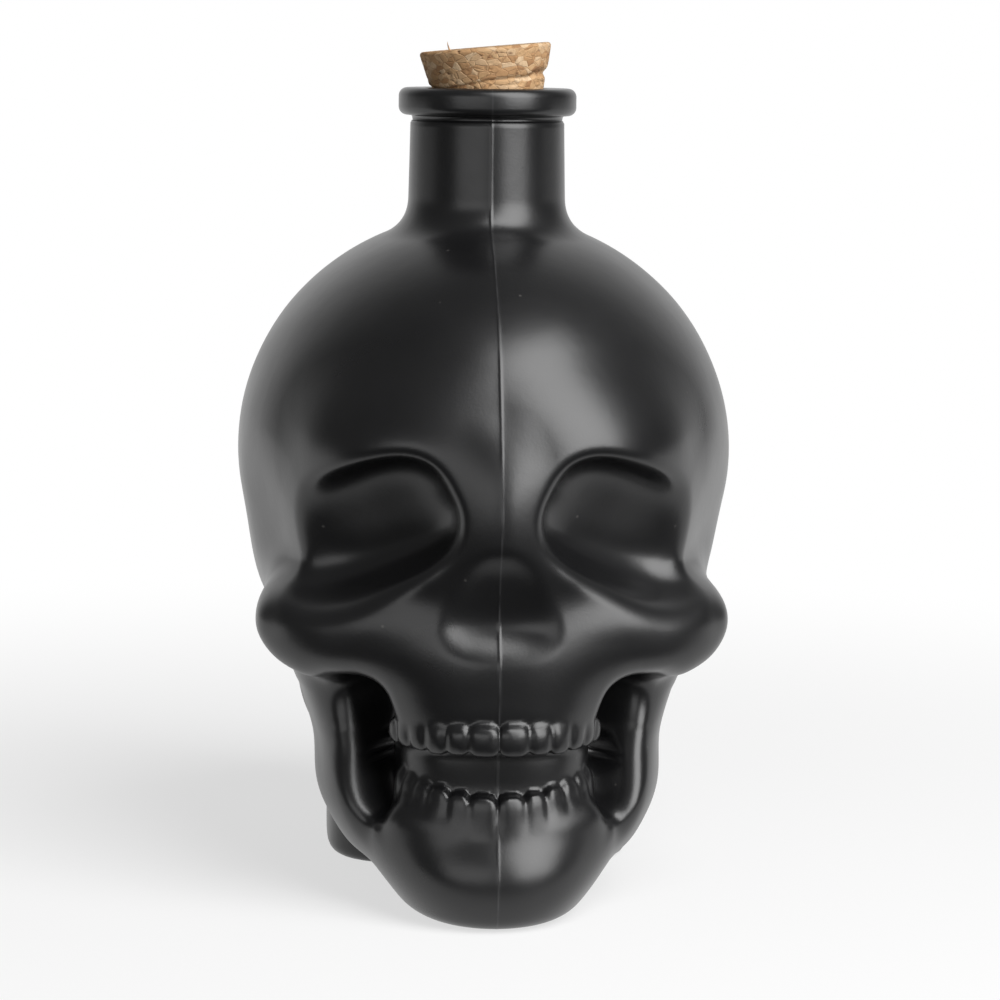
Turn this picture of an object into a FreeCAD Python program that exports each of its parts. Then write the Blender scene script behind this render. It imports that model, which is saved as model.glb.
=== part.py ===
# Skull-shaped poison bottle in blown glass, closed by a tapered cork.
# Millimetres, +Z up. The neck's axis is the Z axis, the foot stands on Z = 0 and the face looks along -Y.
import FreeCAD
import Part
import math
import os
import Sketcher
from types import SimpleNamespace

# Driving dimensions, in millimetres, and two angles in degrees
SIZES = {
    "skull_width": 108.4,
    "skull_depth": 134.0,
    "crown_height": 144.5,
    "form_blend": 10.0,
    "midline_soft": 2.0,
    "foot_round": 3.0,
    "glass_wall": 3.2,
    "floor_thickness": 5.0,
    "front_tooth_width": 6.1,
    "upper_tooth_tall": 6.4,
    "lower_tooth_tall": 12.0,
    "tooth_relief": 1.9,
    "tooth_crease": 0.6,
    "dental_arch_width": 42.6,
    "dental_arch_depth": 20.9,
    "neck_root_diameter": 34.5,
    "neck_top_diameter": 33.3,
    "neck_height": 27.3,
    "neck_run_in": 6.0,
    "shoulder_rise": 11.0,
    "shoulder_blend": 6.0,
    "bead_diameter": 38.6,
    "bead_tall": 5.9,
    "bead_round": 1.8,
    "bore_diameter": 25.0,
    "bore_run_in": 6.0,
    "mouth_chamfer": 0.8,
    "seat_clearance": 0.2,
    "cork_overhang": 1.95,
    "cork_plug_depth": 12.0,
    "cork_edge_round": 0.7,
    "cork_taper_angle": 12.4,
    "cork_tilt_angle": 5.2,
    "cut_overrun": 2.0,
}

# The skull is a set of rounded forms, blended one after another in this order. Centres and radii are shares
# of the half width, the half depth and the crown's height, and blends are shares of form_blend.
# A cut takes its form away, squareness 2 is an ellipsoid and more is boxier, and turns are degrees.
# An outline is the squareness seen from the front, where that differs. A taper narrows the form upwards,
# and one below zero narrows it downwards. A form off the middle has a twin on the other side.
FORM_SHARES = [
    dict(name="cranium", centre=(0, 0.06, 0.644), radius=(1, 0.985, 0.356), blend=1),
    dict(name="skull_base", centre=(0, 0.19, 0.443), radius=(0.84, 0.82, 0.2), blend=1.2),
    dict(name="foot", centre=(0, 0.299, 0.069), radius=(0.61, 0.388, 0.28), blend=1, squareness=3.5),
    dict(name="face", centre=(0, -0.358, 0.512), radius=(0.664, 0.552, 0.235), blend=1.2, squareness=2.4),
    dict(name="brow", centre=(0.33, -0.62, 0.7), radius=(0.3, 0.18, 0.06), blend=1.5, yaw=22),
    dict(name="temple", cut=True, centre=(1.15, -0.5, 0.525), radius=(0.26, 0.33, 0.135), blend=1.2),
    dict(name="cheek", centre=(0.517, -0.642, 0.412), radius=(0.36, 0.194, 0.074), blend=0.8,
         squareness=2.4, yaw=24),
    dict(name="cheek_arch", centre=(0.785, -0.27, 0.41), radius=(0.118, 0.34, 0.057), blend=0.8,
         squareness=2.2, yaw=14),
    dict(name="upper_jaw", centre=(0, -0.612, 0.339), radius=(0.432, 0.336, 0.138), blend=0.9, squareness=2.5),
    dict(name="nose_bridge", centre=(0, -0.836, 0.581), radius=(0.12, 0.119, 0.111), blend=0.8),
    dict(name="eye_socket", cut=True, centre=(0.58, -0.881, 0.565), radius=(0.41, 0.235, 0.101), blend=0.25,
         squareness=3.6, outline=2.5, yaw=24, pitch=18, roll=-17),
    dict(name="nose_opening", cut=True, centre=(0, -1.03, 0.45), radius=(0.2, 0.16, 0.078), blend=0.3,
         squareness=3.6, outline=2.6, taper=0.4, pitch=28),
    dict(name="lower_jaw", centre=(0, -0.25, 0.228), radius=(0.655, 0.664, 0.228), blend=0.6, squareness=2.4,
         outline=2, flat_top=0.185, top_blend=0.9),
    dict(name="keel", centre=(0, -0.299, 0.035), radius=(0.277, 0.507, 0.08), blend=0.8, squareness=2.4),
    dict(name="chin", centre=(0, -0.62, 0.06), radius=(0.38, 0.34, 0.1), blend=1.2, squareness=2.4, outline=2),
    dict(name="jaw_branch", centre=(0.525, -0.35, 0.27), radius=(0.165, 0.19, 0.165), blend=1.1,
         squareness=2.4, taper=-0.15, pitch=-33, roll=-12),
    dict(name="ear_knob", centre=(0.62, 0.149, 0.291), radius=(0.13, 0.149, 0.083), blend=1),
    dict(name="jaw_gap", cut=True, centre=(0.53, -0.69, 0.339), radius=(0.112, 0.25, 0.19), blend=0.5,
         squareness=2.2, outline=2, yaw=33, roll=-8, flat_top=0.35, top_blend=0.6),
    dict(name="mouth", cut=True, centre=(0, -0.776, 0.2284), radius=(0.47, 0.388, 0.032), blend=0.2, squareness=4),
    dict(name="gums", centre=(0, -0.537, 0.222), radius=(0.376, 0.328, 0.1), blend=0.25, squareness=2.8),
]

# Teeth from the middle outwards: widths and heights are shares of the front tooth's, the plan is a share of
# the upper arch's, and the level and the arch's middle are shares of the crown's height and the half depth
TOOTH_WIDTH_SHARES = (1, 0.78, 0.78, 0.72, 0.7, 0.7)
UPPER_TEETH_SHARES = dict(tall=(1, 0.95, 1, 0.92, 0.9, 0.86), plan=1, level=0.279, end_lift=-0.047)
LOWER_TEETH_SHARES = dict(tall=(1, 1, 1.05, 1, 1, 1), plan=0.955, level=0.1535, end_lift=0.292)
ARCH_MIDDLE_SHARE = -0.642
TOOTH_FAT_SHARE = 1.08
TOOTH_SQUARENESS = 2.3
TOOTH_OUTLINE = 3.4

# Levels of the rings: each stretch is its start, as a share of the crown's height, and how many rings it has
OUTER_LEVEL_SHARES = [(0, 2), (0.014, 5), (0.1, 9), (0.19, 7), (0.25, 9), (0.31, 9), (0.44, 8), (0.52, 7),
                      (0.69, 5), (0.89, 9)]
INNER_LEVEL_SHARES = [(0.15, 9), (0.5, 6), (0.9, 5)]
INNER_FLOOR_RINGS = 4
# Columns of one half, from the face's middle to the back's: beyond the teeth, each stretch is its start in
# degrees and how many columns it has
TOOTH_COLUMNS = 4
CHEEK_COLUMNS = 15
BACK_START = 84
BACK_COLUMNS = 7
INNER_COLUMNS = [(0, 8), (60, 7)]
HALF_TURN = 180
STUB_SINK_SHARE = 0.12
INNER_STUB_SHARE = 0.6
MARCH_SHARE = 0.85
MARCH_STEPS = 60
MARCH_LIMIT_SHARE = 1e-5


def make_sheet(doc):
    sheet = doc.addObject("Spreadsheet::Sheet", "Sizes")
    for row, (alias, value) in enumerate(SIZES.items(), start=1):
        sheet.set(f"A{row}", alias)
        sheet.set(f"B{row}", str(value))
        sheet.setAlias(f"B{row}", alias)
    doc.recompute()
    # the sizes as the sheet has them, read once because the skins ask for them often
    return SimpleNamespace(**{alias: getattr(sheet, alias) for alias in SIZES})


def turn_rows(yaw, pitch, roll):
    # rows of the matrix that takes a point into a form's own axes: yaw about Z, then pitch about X, then roll
    cy, sy = math.cos(math.radians(yaw)), math.sin(math.radians(yaw))
    cp, sp = math.cos(math.radians(pitch)), math.sin(math.radians(pitch))
    cr, sr = math.cos(math.radians(roll)), math.sin(math.radians(roll))
    side = (cy, sy, 0)
    front = (-sy * cp, cy * cp, sp)
    upper = (sy * sp, -cy * sp, cp)
    rolled_side = tuple(cr * a + sr * b for a, b in zip(side, upper))
    rolled_upper = tuple(cr * b - sr * a for a, b in zip(side, upper))
    return rolled_side, front, rolled_upper


def make_form(centre, radius, blend, squareness=2, outline=None, taper=0, turns=(0, 0, 0), cut=False,
              flat_top=None, top_blend=None, midline_soft=0):
    rows = turn_rows(*turns)
    # the half height that the turned form can reach
    reach = math.sqrt(sum((row[2] * size) ** 2 for row, size in zip(rows, radius)))
    reach = max(reach, radius[2]) * math.sqrt(squareness / 2)
    return dict(centre=centre, radius=radius, blend=blend, squareness=squareness, outline=outline or squareness,
                taper=taper, rows=rows, cut=cut, twin=centre[0] != 0, midline_soft=midline_soft,
                flat_top=flat_top, top_blend=top_blend,
                low=centre[2] - reach - blend, high=centre[2] + reach + blend)


def skull_forms(sheet):
    scale = (sheet.skull_width / 2, sheet.skull_depth / 2, sheet.crown_height)
    forms = []
    for shares in FORM_SHARES:
        centre = tuple(share * size for share, size in zip(shares["centre"], scale))
        radius = tuple(share * size for share, size in zip(shares["radius"], scale))
        turns = (shares.get("yaw", 0), shares.get("pitch", 0), shares.get("roll", 0))
        flat_top = shares.get("flat_top")
        if flat_top is not None:
            flat_top = flat_top * sheet.crown_height
        forms.append(make_form(centre, radius, shares["blend"] * sheet.form_blend, shares.get("squareness", 2),
                               shares.get("outline"), shares.get("taper", 0), turns, shares.get("cut", False),
                               flat_top, shares.get("top_blend", 1) * sheet.form_blend, sheet.midline_soft))
    return forms


def arch_teeth(sheet):
    # the upper teeth's edges and middles along half an ellipse, the dental arch, as its own angles
    half, depth = sheet.dental_arch_width / 2, sheet.dental_arch_depth
    edges, middles = [0], []
    for share in TOOTH_WIDTH_SHARES:
        width = share * sheet.front_tooth_width
        start = edges[-1]
        middle = start + width / 2 / math.hypot(half * math.cos(start), depth * math.sin(start))
        middles.append(middle)
        edges.append(start + width / math.hypot(half * math.cos(middle), depth * math.sin(middle)))
    return edges, middles


def arch_point(sheet, angle):
    middle_y = ARCH_MIDDLE_SHARE * sheet.skull_depth / 2
    return (sheet.dental_arch_width / 2 * math.sin(angle), middle_y - sheet.dental_arch_depth * math.cos(angle))


def tooth_forms(sheet, shares, front_tall):
    edges, middles = arch_teeth(sheet)
    level = shares["level"] * sheet.crown_height
    forms = []
    for middle, width_share, tall_share in zip(middles, TOOTH_WIDTH_SHARES, shares["tall"]):
        x, y = arch_point(sheet, middle)
        lift = shares["end_lift"] * front_tall * (1 - math.cos(middle))
        width = TOOTH_FAT_SHARE * shares["plan"] * width_share * sheet.front_tooth_width
        yaw = math.atan2(sheet.dental_arch_depth * math.sin(middle),
                         sheet.dental_arch_width / 2 * math.cos(middle))
        forms.append(make_form((shares["plan"] * x, shares["plan"] * y, level + lift),
                               (width / 2, sheet.tooth_relief, tall_share * front_tall / 2),
                               sheet.tooth_crease, TOOTH_SQUARENESS, TOOTH_OUTLINE,
                               turns=(math.degrees(yaw), 0, 0)))
    return forms


def soft_min(first, second, blend):
    # the smaller of two distances, rounded off over the width of the blend
    near = max(blend - abs(first - second), 0)
    return min(first, second) - near * near / blend / 4


def soft_max(first, second, blend):
    return -soft_min(-first, -second, blend)


def distance_to(form, x, y, z):
    # about how far a point lies outside a superellipsoid: its norm less one, over the norm's slope. The norm
    # joins width and height by the outline's power first, and depth by the squareness after that.
    dx, dy, dz = x - form["centre"][0], y - form["centre"][1], z - form["centre"][2]
    wide, deep, high = form["radius"]
    across, along, up = ((row[0] * dx + row[1] * dy + row[2] * dz) / size
                         for row, size in zip(form["rows"], form["radius"]))
    narrowing = 1 - form["taper"] * min(max(up, -1), 1)
    side, depth, tall = abs(across) / narrowing, abs(along), abs(up)
    outline, power = form["outline"], form["squareness"]
    front = max((side ** outline + tall ** outline) ** (1 / outline), MARCH_LIMIT_SHARE)
    norm = (front ** power + depth ** power) ** (1 / power)
    front_pull = (front / norm) ** (power - 1)
    slope = math.hypot(front_pull * (side / front) ** (outline - 1) / narrowing / wide,
                       (depth / norm) ** (power - 1) / deep,
                       front_pull * (tall / front) ** (outline - 1) / high)
    if slope == 0:
        return -min(form["radius"])
    distance = (norm - 1) / slope
    if form["flat_top"] is not None:
        distance = soft_max(distance, z - form["flat_top"], form["top_blend"])
    return distance


def skin_field(forms, x, y, z):
    # twins meet softly in the middle plane, but the front teeth meet in a groove
    field = None
    for form in forms:
        side = math.hypot(x, form["midline_soft"]) if form["twin"] else x
        distance = distance_to(form, side, y, z)
        if field is None:
            field = distance
        elif form["cut"]:
            field = soft_max(field, -distance, form["blend"])
        else:
            field = soft_min(field, distance, form["blend"])
    return field


def spread(stretches, end):
    # evenly spaced values in each stretch, and the end
    starts = [start for start, count in stretches] + [end]
    values = []
    for (start, count), stop in zip(stretches, starts[1:]):
        values += [start + (stop - start) * step / count for step in range(count)]
    return values + [end]


def march(field_at, start, limit):
    # walk along a level ray, by the distance that the field gives, until the skin is met
    reach = start
    for step in range(MARCH_STEPS):
        value = field_at(reach)
        reach = max(reach - MARCH_SHARE * value, 0)
        if abs(value) < limit:
            break
    return reach


def outer_columns(sheet):
    # every tooth has the same number of columns, so that the creases between teeth stay crisp
    edges, middles = arch_teeth(sheet)
    points = [arch_point(sheet, edge) for edge in edges]
    angles = [math.degrees(math.atan2(x, -y)) for x, y in points]
    stretches = [(angle, TOOTH_COLUMNS) for angle in angles[:-1]]
    return stretches + [(angles[-1], CHEEK_COLUMNS), (BACK_START, BACK_COLUMNS)]


def ring_solid(levels, columns, radius_at):
    # rings of points, from half a ring and its mirror image, joined by facets and closed by flat ends
    points = []
    for z in levels:
        half = [(math.radians(angle), radius_at(math.radians(angle), z)) for angle in columns]
        ring = half + [(-angle, radius) for angle, radius in reversed(half[1:-1])]
        points += [FreeCAD.Vector(radius * math.sin(angle), -radius * math.cos(angle), z)
                   for angle, radius in ring]
    around = 2 * len(columns) - 2
    facets = []
    for low in range(0, len(points) - around, around):
        for column in range(around):
            here, beside = low + column, low + (column + 1) % around
            facets += [(here, beside, beside + around), (here, beside + around, here + around)]
    skin = Part.Shape()
    skin.makeShapeFromMesh((points, facets), MARCH_LIMIT_SHARE * levels[-1], False)
    faces = skin.Faces
    ends = []
    for level, way, band in ((levels[0], -1, faces[:2 * around]), (levels[-1], 1, faces[-2 * around:])):
        edges = [edge for face in band for edge in face.Edges
                 if all(vertex.Point.z == level for vertex in edge.Vertexes)]
        end = Part.Face(Part.Wire(Part.__sortEdges__(edges)))
        if way * end.normalAt(0, 0).z < 0:
            end.reverse()
        ends.append(end)
    return Part.makeSolid(Part.makeShell(faces + ends))


def outer_skin(sheet):
    forms = skull_forms(sheet)
    forms += tooth_forms(sheet, UPPER_TEETH_SHARES, sheet.upper_tooth_tall)
    forms += tooth_forms(sheet, LOWER_TEETH_SHARES, sheet.lower_tooth_tall)
    root = sheet.neck_root_diameter / 2
    crown = sheet.crown_height

    def radius_at(angle, z):
        near = [form for form in forms if form is forms[0] or form["low"] < z < form["high"]]
        side, ahead = math.sin(angle), -math.cos(angle)
        # the stub leans inwards above the crown, so that the neck's own wall takes over from it
        stub = root * (1 - STUB_SINK_SHARE * (z - crown) / sheet.shoulder_rise)

        def field_at(reach):
            field = skin_field(near, reach * side, reach * ahead, z)
            field = soft_max(field, -z, sheet.foot_round)
            return soft_min(field, max(reach - stub, crown - sheet.shoulder_rise - z), sheet.shoulder_blend)
        return march(field_at, sheet.skull_depth, MARCH_LIMIT_SHARE * crown)

    top = (crown + sheet.shoulder_rise) / crown
    levels = [share * crown for share in spread(OUTER_LEVEL_SHARES, top)]
    return ring_solid(levels, spread(outer_columns(sheet), HALF_TURN), radius_at)


def inner_skin(sheet):
    # the blown inside is softer than the outside: it follows the forms, but not the teeth
    forms = skull_forms(sheet)
    stub = INNER_STUB_SHARE * sheet.bore_diameter / 2
    crown = sheet.crown_height

    def radius_at(angle, z):
        near = [form for form in forms if form is forms[0] or form["low"] < z < form["high"]]
        side, ahead = math.sin(angle), -math.cos(angle)

        def field_at(reach):
            field = skin_field(near, reach * side, reach * ahead, z)
            return soft_min(field + sheet.glass_wall, reach - stub, sheet.glass_wall)
        return march(field_at, stub, MARCH_LIMIT_SHARE * crown)

    stretches = [(sheet.floor_thickness / crown, INNER_FLOOR_RINGS)] + INNER_LEVEL_SHARES
    levels = [share * crown for share in spread(stretches, 1)]
    return ring_solid(levels, spread(INNER_COLUMNS, HALF_TURN), radius_at)


def skin_feature(doc, name, solid):
    feature = doc.addObject("Part::Feature", name)
    feature.Shape = solid
    return feature


def revolved_body(doc, name, corners):
    # a body turned about the Z axis from a closed profile, whose corners are expressions for radius and height
    body = doc.addObject("PartDesign::Body", name)
    sketch = body.newObject("Sketcher::SketchObject", name + "Profile")
    plane = [item for item in body.Origin.OriginFeatures if item.Role == "XZ_Plane"][0]
    sketch.AttachmentSupport = (plane, [""])
    sketch.MapMode = "FlatFace"
    points = [FreeCAD.Vector(*(float(sketch.evalExpression(item)) for item in corner), 0) for corner in corners]
    for start, end in zip(points, points[1:] + points[:1]):
        sketch.addGeometry(Part.LineSegment(start, end), False)
    for line in range(len(points)):
        sketch.addConstraint(Sketcher.Constraint("Coincident", line, 2, (line + 1) % len(points), 1))
    for line, (point, corner) in enumerate(zip(points, corners)):
        for kind, axis, value, expression in zip(("DistanceX", "DistanceY"), (-2, -1), point, corner):
            if expression == "0":
                sketch.addConstraint(Sketcher.Constraint("PointOnObject", line, 1, axis))
            else:
                index = sketch.addConstraint(Sketcher.Constraint(kind, -1, 1, line, 1, value))
                sketch.setExpression(f"Constraints[{index}]", expression)
    turned = body.newObject("PartDesign::Revolution", name + "Turned")
    turned.Profile = sketch
    turned.ReferenceAxis = (sketch, ["V_Axis"])
    turned.Angle = 2 * HALF_TURN
    doc.recompute()
    return body, turned


def round_edges(doc, body, turned, radii, expression):
    # round the turned edges that have one of these radii
    names = [f"Edge{number}" for number, edge in enumerate(turned.Shape.Edges, start=1)
             if edge.Curve.TypeId == "Part::GeomCircle"
             and any(math.isclose(edge.Curve.Radius, radius, rel_tol=MARCH_LIMIT_SHARE) for radius in radii)]
    rounded = body.newObject("PartDesign::Fillet", body.Name + "Rounded")
    rounded.Base = (turned, names)
    rounded.setExpression("Radius", expression)
    doc.recompute()


def neck_finish(doc, sheet):
    # the neck's wall and the bead around its mouth
    low = "Sizes.crown_height - Sizes.neck_run_in"
    rim = "Sizes.crown_height + Sizes.neck_height"
    body, turned = revolved_body(doc, "NeckFinish", [
        ("0", low),
        ("Sizes.neck_root_diameter / 2", low),
        ("Sizes.neck_top_diameter / 2", f"{rim} - Sizes.bead_tall"),
        ("Sizes.bead_diameter / 2", f"{rim} - Sizes.bead_tall"),
        ("Sizes.bead_diameter / 2", rim),
        ("0", rim),
    ])
    round_edges(doc, body, turned, [sheet.bead_diameter / 2], "Sizes.bead_round")
    return body


def neck_bore(doc):
    # what the bore takes away, with the chamfer of its mouth
    rim = "Sizes.crown_height + Sizes.neck_height"
    low = "Sizes.crown_height - Sizes.glass_wall - Sizes.bore_run_in"
    body, turned = revolved_body(doc, "NeckBore", [
        ("0", low),
        ("Sizes.bore_diameter / 2", low),
        ("Sizes.bore_diameter / 2", f"{rim} - Sizes.mouth_chamfer"),
        ("Sizes.bore_diameter / 2 + Sizes.mouth_chamfer + Sizes.cut_overrun", f"{rim} + Sizes.cut_overrun"),
        ("0", f"{rim} + Sizes.cut_overrun"),
    ])
    return body


def joined(doc, kind, name, base, tool):
    # merging the facets again would take minutes and changes nothing, so Refine is off
    result = doc.addObject(kind, name)
    result.Base = base
    result.Tool = tool
    result.Refine = False
    return result


def glass_bottle(doc, sheet):
    neck = neck_finish(doc, sheet)
    bore = neck_bore(doc)
    skin = skin_feature(doc, "SkullSkin", outer_skin(sheet))
    hollow = skin_feature(doc, "SkullHollow", inner_skin(sheet))
    outside = joined(doc, "Part::Fuse", "BottleOutside", skin, neck)
    inside = joined(doc, "Part::Fuse", "BottleInside", hollow, bore)
    bottle = joined(doc, "Part::Cut", "Bottle", outside, inside)
    bottle.Label = "glass_bottle"
    return bottle


def cork_stopper(doc, sheet):
    # a tapered plug that meets the bore's mouth all round, and leans in it as a cork pushed in by hand does
    taper = "tan(Sizes.cork_taper_angle * 1 deg)"
    seat_radius = "(Sizes.bore_diameter / 2 - Sizes.seat_clearance)"
    bottom = f"{seat_radius} - Sizes.cork_plug_depth * {taper}"
    top = "Sizes.bore_diameter / 2 + Sizes.cork_overhang"
    tall = f"Sizes.cork_plug_depth + (Sizes.cork_overhang + Sizes.seat_clearance) / {taper}"
    cork, turned = revolved_body(doc, "Cork", [("0", "0"), (bottom, "0"), (top, tall), ("0", tall)])
    radii = [float(turned.evalExpression(radius)) for radius in (bottom, top)]
    round_edges(doc, cork, turned, radii, "Sizes.cork_edge_round")
    seat = "Sizes.crown_height + Sizes.neck_height - Sizes.mouth_chamfer"
    lean = "Sizes.cork_tilt_angle * 1 deg"
    cork.Placement.Rotation = FreeCAD.Rotation(FreeCAD.Vector(0, -1, 0), sheet.cork_tilt_angle)
    cork.setExpression("Placement.Rotation.Angle", lean)
    # leaning moves the plug's outline in the mouth to one side, and this shift centres it again
    cork.setExpression("Placement.Base.x",
                       f"{seat_radius} * {taper} * tan({lean}) + Sizes.cork_plug_depth * sin({lean})")
    cork.setExpression("Placement.Base.z", f"{seat} - Sizes.cork_plug_depth * cos({lean})")
    cork.Label = "cork_stopper"
    return cork


def main():
    doc = FreeCAD.newDocument("PoisonBottle")
    sheet = make_sheet(doc)
    pieces = [glass_bottle(doc, sheet), cork_stopper(doc, sheet)]
    doc.recompute()
    for item in doc.Objects:
        if "Invalid" in item.State or "Error" in item.State:
            raise RuntimeError(f"{item.Label} failed: {item.State}")
    for piece in pieces:
        if piece.Shape.isNull() or not piece.Shape.isValid() or len(piece.Shape.Solids) != 1:
            raise RuntimeError(f"{piece.Label} isn't one valid solid")
    os.makedirs("parts", exist_ok=True)
    for piece in pieces:
        piece.Shape.exportStep(f"parts/{piece.Label}.step")
        print(piece.Label, "volume", round(piece.Shape.Volume), "box", piece.Shape.BoundBox)


main()
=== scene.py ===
# Skull-shaped poison bottle in satin black glass, with its pressed cork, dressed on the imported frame
import math
import bpy
import numpy as np
from mathutils import Matrix, Vector


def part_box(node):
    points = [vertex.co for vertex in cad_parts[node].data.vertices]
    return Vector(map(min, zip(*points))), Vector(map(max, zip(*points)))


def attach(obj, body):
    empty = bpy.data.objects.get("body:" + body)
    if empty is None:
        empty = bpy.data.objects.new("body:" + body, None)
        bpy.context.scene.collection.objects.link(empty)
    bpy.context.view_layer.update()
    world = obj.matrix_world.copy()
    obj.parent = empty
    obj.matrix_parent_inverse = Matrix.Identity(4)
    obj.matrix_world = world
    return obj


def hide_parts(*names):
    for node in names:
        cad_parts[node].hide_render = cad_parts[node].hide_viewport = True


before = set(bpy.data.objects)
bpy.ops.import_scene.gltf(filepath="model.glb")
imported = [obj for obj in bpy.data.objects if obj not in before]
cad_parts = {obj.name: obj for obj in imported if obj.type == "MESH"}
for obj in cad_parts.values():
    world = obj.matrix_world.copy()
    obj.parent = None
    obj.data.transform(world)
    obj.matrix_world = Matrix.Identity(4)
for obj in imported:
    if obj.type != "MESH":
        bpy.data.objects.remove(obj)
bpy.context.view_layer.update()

glassLow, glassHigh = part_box("glass_bottle")
corkLow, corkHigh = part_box("cork_stopper")
mm = 0.001

# the forms below are shares of the half width, the half depth and the crown's level, and these three are
# shares of the bottle's box, because the blended skin doesn't end where its largest forms do
boxShares = {"width": 1.001, "depth": 0.9865, "crown": 0.8411}
rimLevel = glassHigh.z
halfWidth = boxShares["width"] * (glassHigh.x - glassLow.x) / 2
halfDepth = boxShares["depth"] * (glassHigh.y - glassLow.y) / 2
crownLevel = boxShares["crown"] * rimLevel
formScale = np.array([halfWidth, halfDepth, crownLevel])


# small helpers

def softMin(first, second, blend):
    # the smaller of two distances, rounded off by a parabola over the width of the blend
    near = np.maximum(blend - np.abs(first - second), 0)
    return np.minimum(first, second) - near * near / blend / 4


def softMax(first, second, blend):
    # the larger of two distances, rounded off in the same way
    return -softMin(-first, -second, blend)


def easeInOut(share):
    # three times the square less twice the cube: level at 0 and at 1
    return share * share * (3 - 2 * share)


def smoothStep(low, high, value):
    # eases from 0 at the low value to 1 at the high one
    return easeInOut(np.clip((value - low) / (high - low), 0, 1))


lattice = {"size": 4096, "strides": (73, 157, 311), "seedStride": 17}


def latticeNoise(points, cell, seed):
    # random values on a cubic lattice of the given cell, blended between its corners, from -1 to 1
    table = np.random.default_rng(seed).uniform(-1, 1, lattice["size"])
    scaled = points / cell
    base = np.floor(scaled).astype(int)
    part = easeInOut(scaled - base)
    total = np.zeros(points.shape[:-1])
    for corner in np.ndindex(2, 2, 2):
        pick = ((base + corner) @ lattice["strides"] + lattice["seedStride"] * seed) % lattice["size"]
        weight = np.prod(np.where(corner, part, 1 - part), axis=-1)
        total += weight * table[pick]
    return total


def spread(stretches, end):
    # evenly spaced values in each stretch, given by its start and its count, and the end
    starts = [start for start, count in stretches] + [end]
    runs = [np.linspace(low, high, count, endpoint=False)
            for (low, count), high in zip(stretches, starts[1:])]
    return np.concatenate(runs + [[end]])


def ringMesh(name, rings):
    # rings is (rows, columns, 3), from the lower pole to the upper one: quads between neighbouring rows,
    # and fans from the middle of the first and last rows
    rows, columns = rings.shape[:2]
    here = np.arange(rows * columns).reshape(rows, columns)
    beside = np.roll(here, -1, axis=1)
    quads = np.stack([here[:-1], beside[:-1], beside[1:], here[1:]], axis=-1).reshape(-1, 4)
    poles = np.stack([rings[0].mean(axis=0), rings[-1].mean(axis=0)])
    low = np.full(columns, rows * columns)
    fans = np.concatenate([np.stack([low, beside[0], here[0]], axis=-1),
                           np.stack([low + 1, here[-1], beside[-1]], axis=-1)])
    points = np.concatenate([rings.reshape(-1, 3), poles])
    mesh = bpy.data.meshes.new(name)
    mesh.from_pydata(points.tolist(), [], quads.tolist() + fans.tolist())
    mesh.polygons.foreach_set("use_smooth", np.ones(len(mesh.polygons), dtype=bool))
    mesh.validate()
    mesh.update()
    piece = bpy.data.objects.new(name, mesh)
    bpy.context.scene.collection.objects.link(piece)
    return piece


# shader groups that both the glass and the cork use

def newGroup(name, inputs, outputs):
    # inputs are (label, kind, value) and outputs (label, kind)
    group = bpy.data.node_groups.new(name, "ShaderNodeTree")
    for label, kind, value in inputs:
        socket = group.interface.new_socket(label, in_out="INPUT", socket_type=kind)
        if value is not None:
            socket.default_value = value
    for label, kind in outputs:
        group.interface.new_socket(label, in_out="OUTPUT", socket_type=kind)
    return group, group.nodes.new("NodeGroupInput"), group.nodes.new("NodeGroupOutput")


def makeMottle():
    # cloudy variation between a low and a high value
    group, given, made = newGroup(
        "mottle",
        [("Vector", "NodeSocketVector", None), ("Scale", "NodeSocketFloat", 100),
         ("Detail", "NodeSocketFloat", 3), ("Low", "NodeSocketFloat", 0), ("High", "NodeSocketFloat", 1)],
        [("Value", "NodeSocketFloat")])
    noise = group.nodes.new("ShaderNodeTexNoise")
    fit = group.nodes.new("ShaderNodeMapRange")
    fit.inputs["From Min"].default_value = 0.3
    fit.inputs["From Max"].default_value = 0.7
    group.links.new(given.outputs["Vector"], noise.inputs["Vector"])
    group.links.new(given.outputs["Scale"], noise.inputs["Scale"])
    group.links.new(given.outputs["Detail"], noise.inputs["Detail"])
    group.links.new(noise.outputs["Fac"], fit.inputs["Value"])
    group.links.new(given.outputs["Low"], fit.inputs["To Min"])
    group.links.new(given.outputs["High"], fit.inputs["To Max"])
    group.links.new(fit.outputs["Result"], made.inputs["Value"])
    return group


def makeFlecks():
    # small round marks, scattered: one for each cell of a Voronoi pattern whose random number is high enough
    group, given, made = newGroup(
        "flecks",
        [("Vector", "NodeSocketVector", None), ("Scale", "NodeSocketFloat", 300),
         ("Rarity", "NodeSocketFloat", 0.9), ("Size", "NodeSocketFloat", 0.2)],
        [("Mask", "NodeSocketFloat")])
    cells = group.nodes.new("ShaderNodeTexVoronoi")
    split = group.nodes.new("ShaderNodeSeparateColor")
    chosen = group.nodes.new("ShaderNodeMath")
    chosen.operation = "GREATER_THAN"
    edge = group.nodes.new("ShaderNodeMapRange")
    edge.inputs["To Min"].default_value = 1
    edge.inputs["To Max"].default_value = 0
    both = group.nodes.new("ShaderNodeMath")
    both.operation = "MULTIPLY"
    group.links.new(given.outputs["Vector"], cells.inputs["Vector"])
    group.links.new(given.outputs["Scale"], cells.inputs["Scale"])
    group.links.new(cells.outputs["Color"], split.inputs["Color"])
    group.links.new(split.outputs["Red"], chosen.inputs[0])
    group.links.new(given.outputs["Rarity"], chosen.inputs[1])
    group.links.new(cells.outputs["Distance"], edge.inputs["Value"])
    group.links.new(given.outputs["Size"], edge.inputs["From Max"])
    group.links.new(chosen.outputs["Value"], both.inputs[0])
    group.links.new(edge.outputs["Result"], both.inputs[1])
    group.links.new(both.outputs["Value"], made.inputs["Mask"])
    return group


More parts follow.
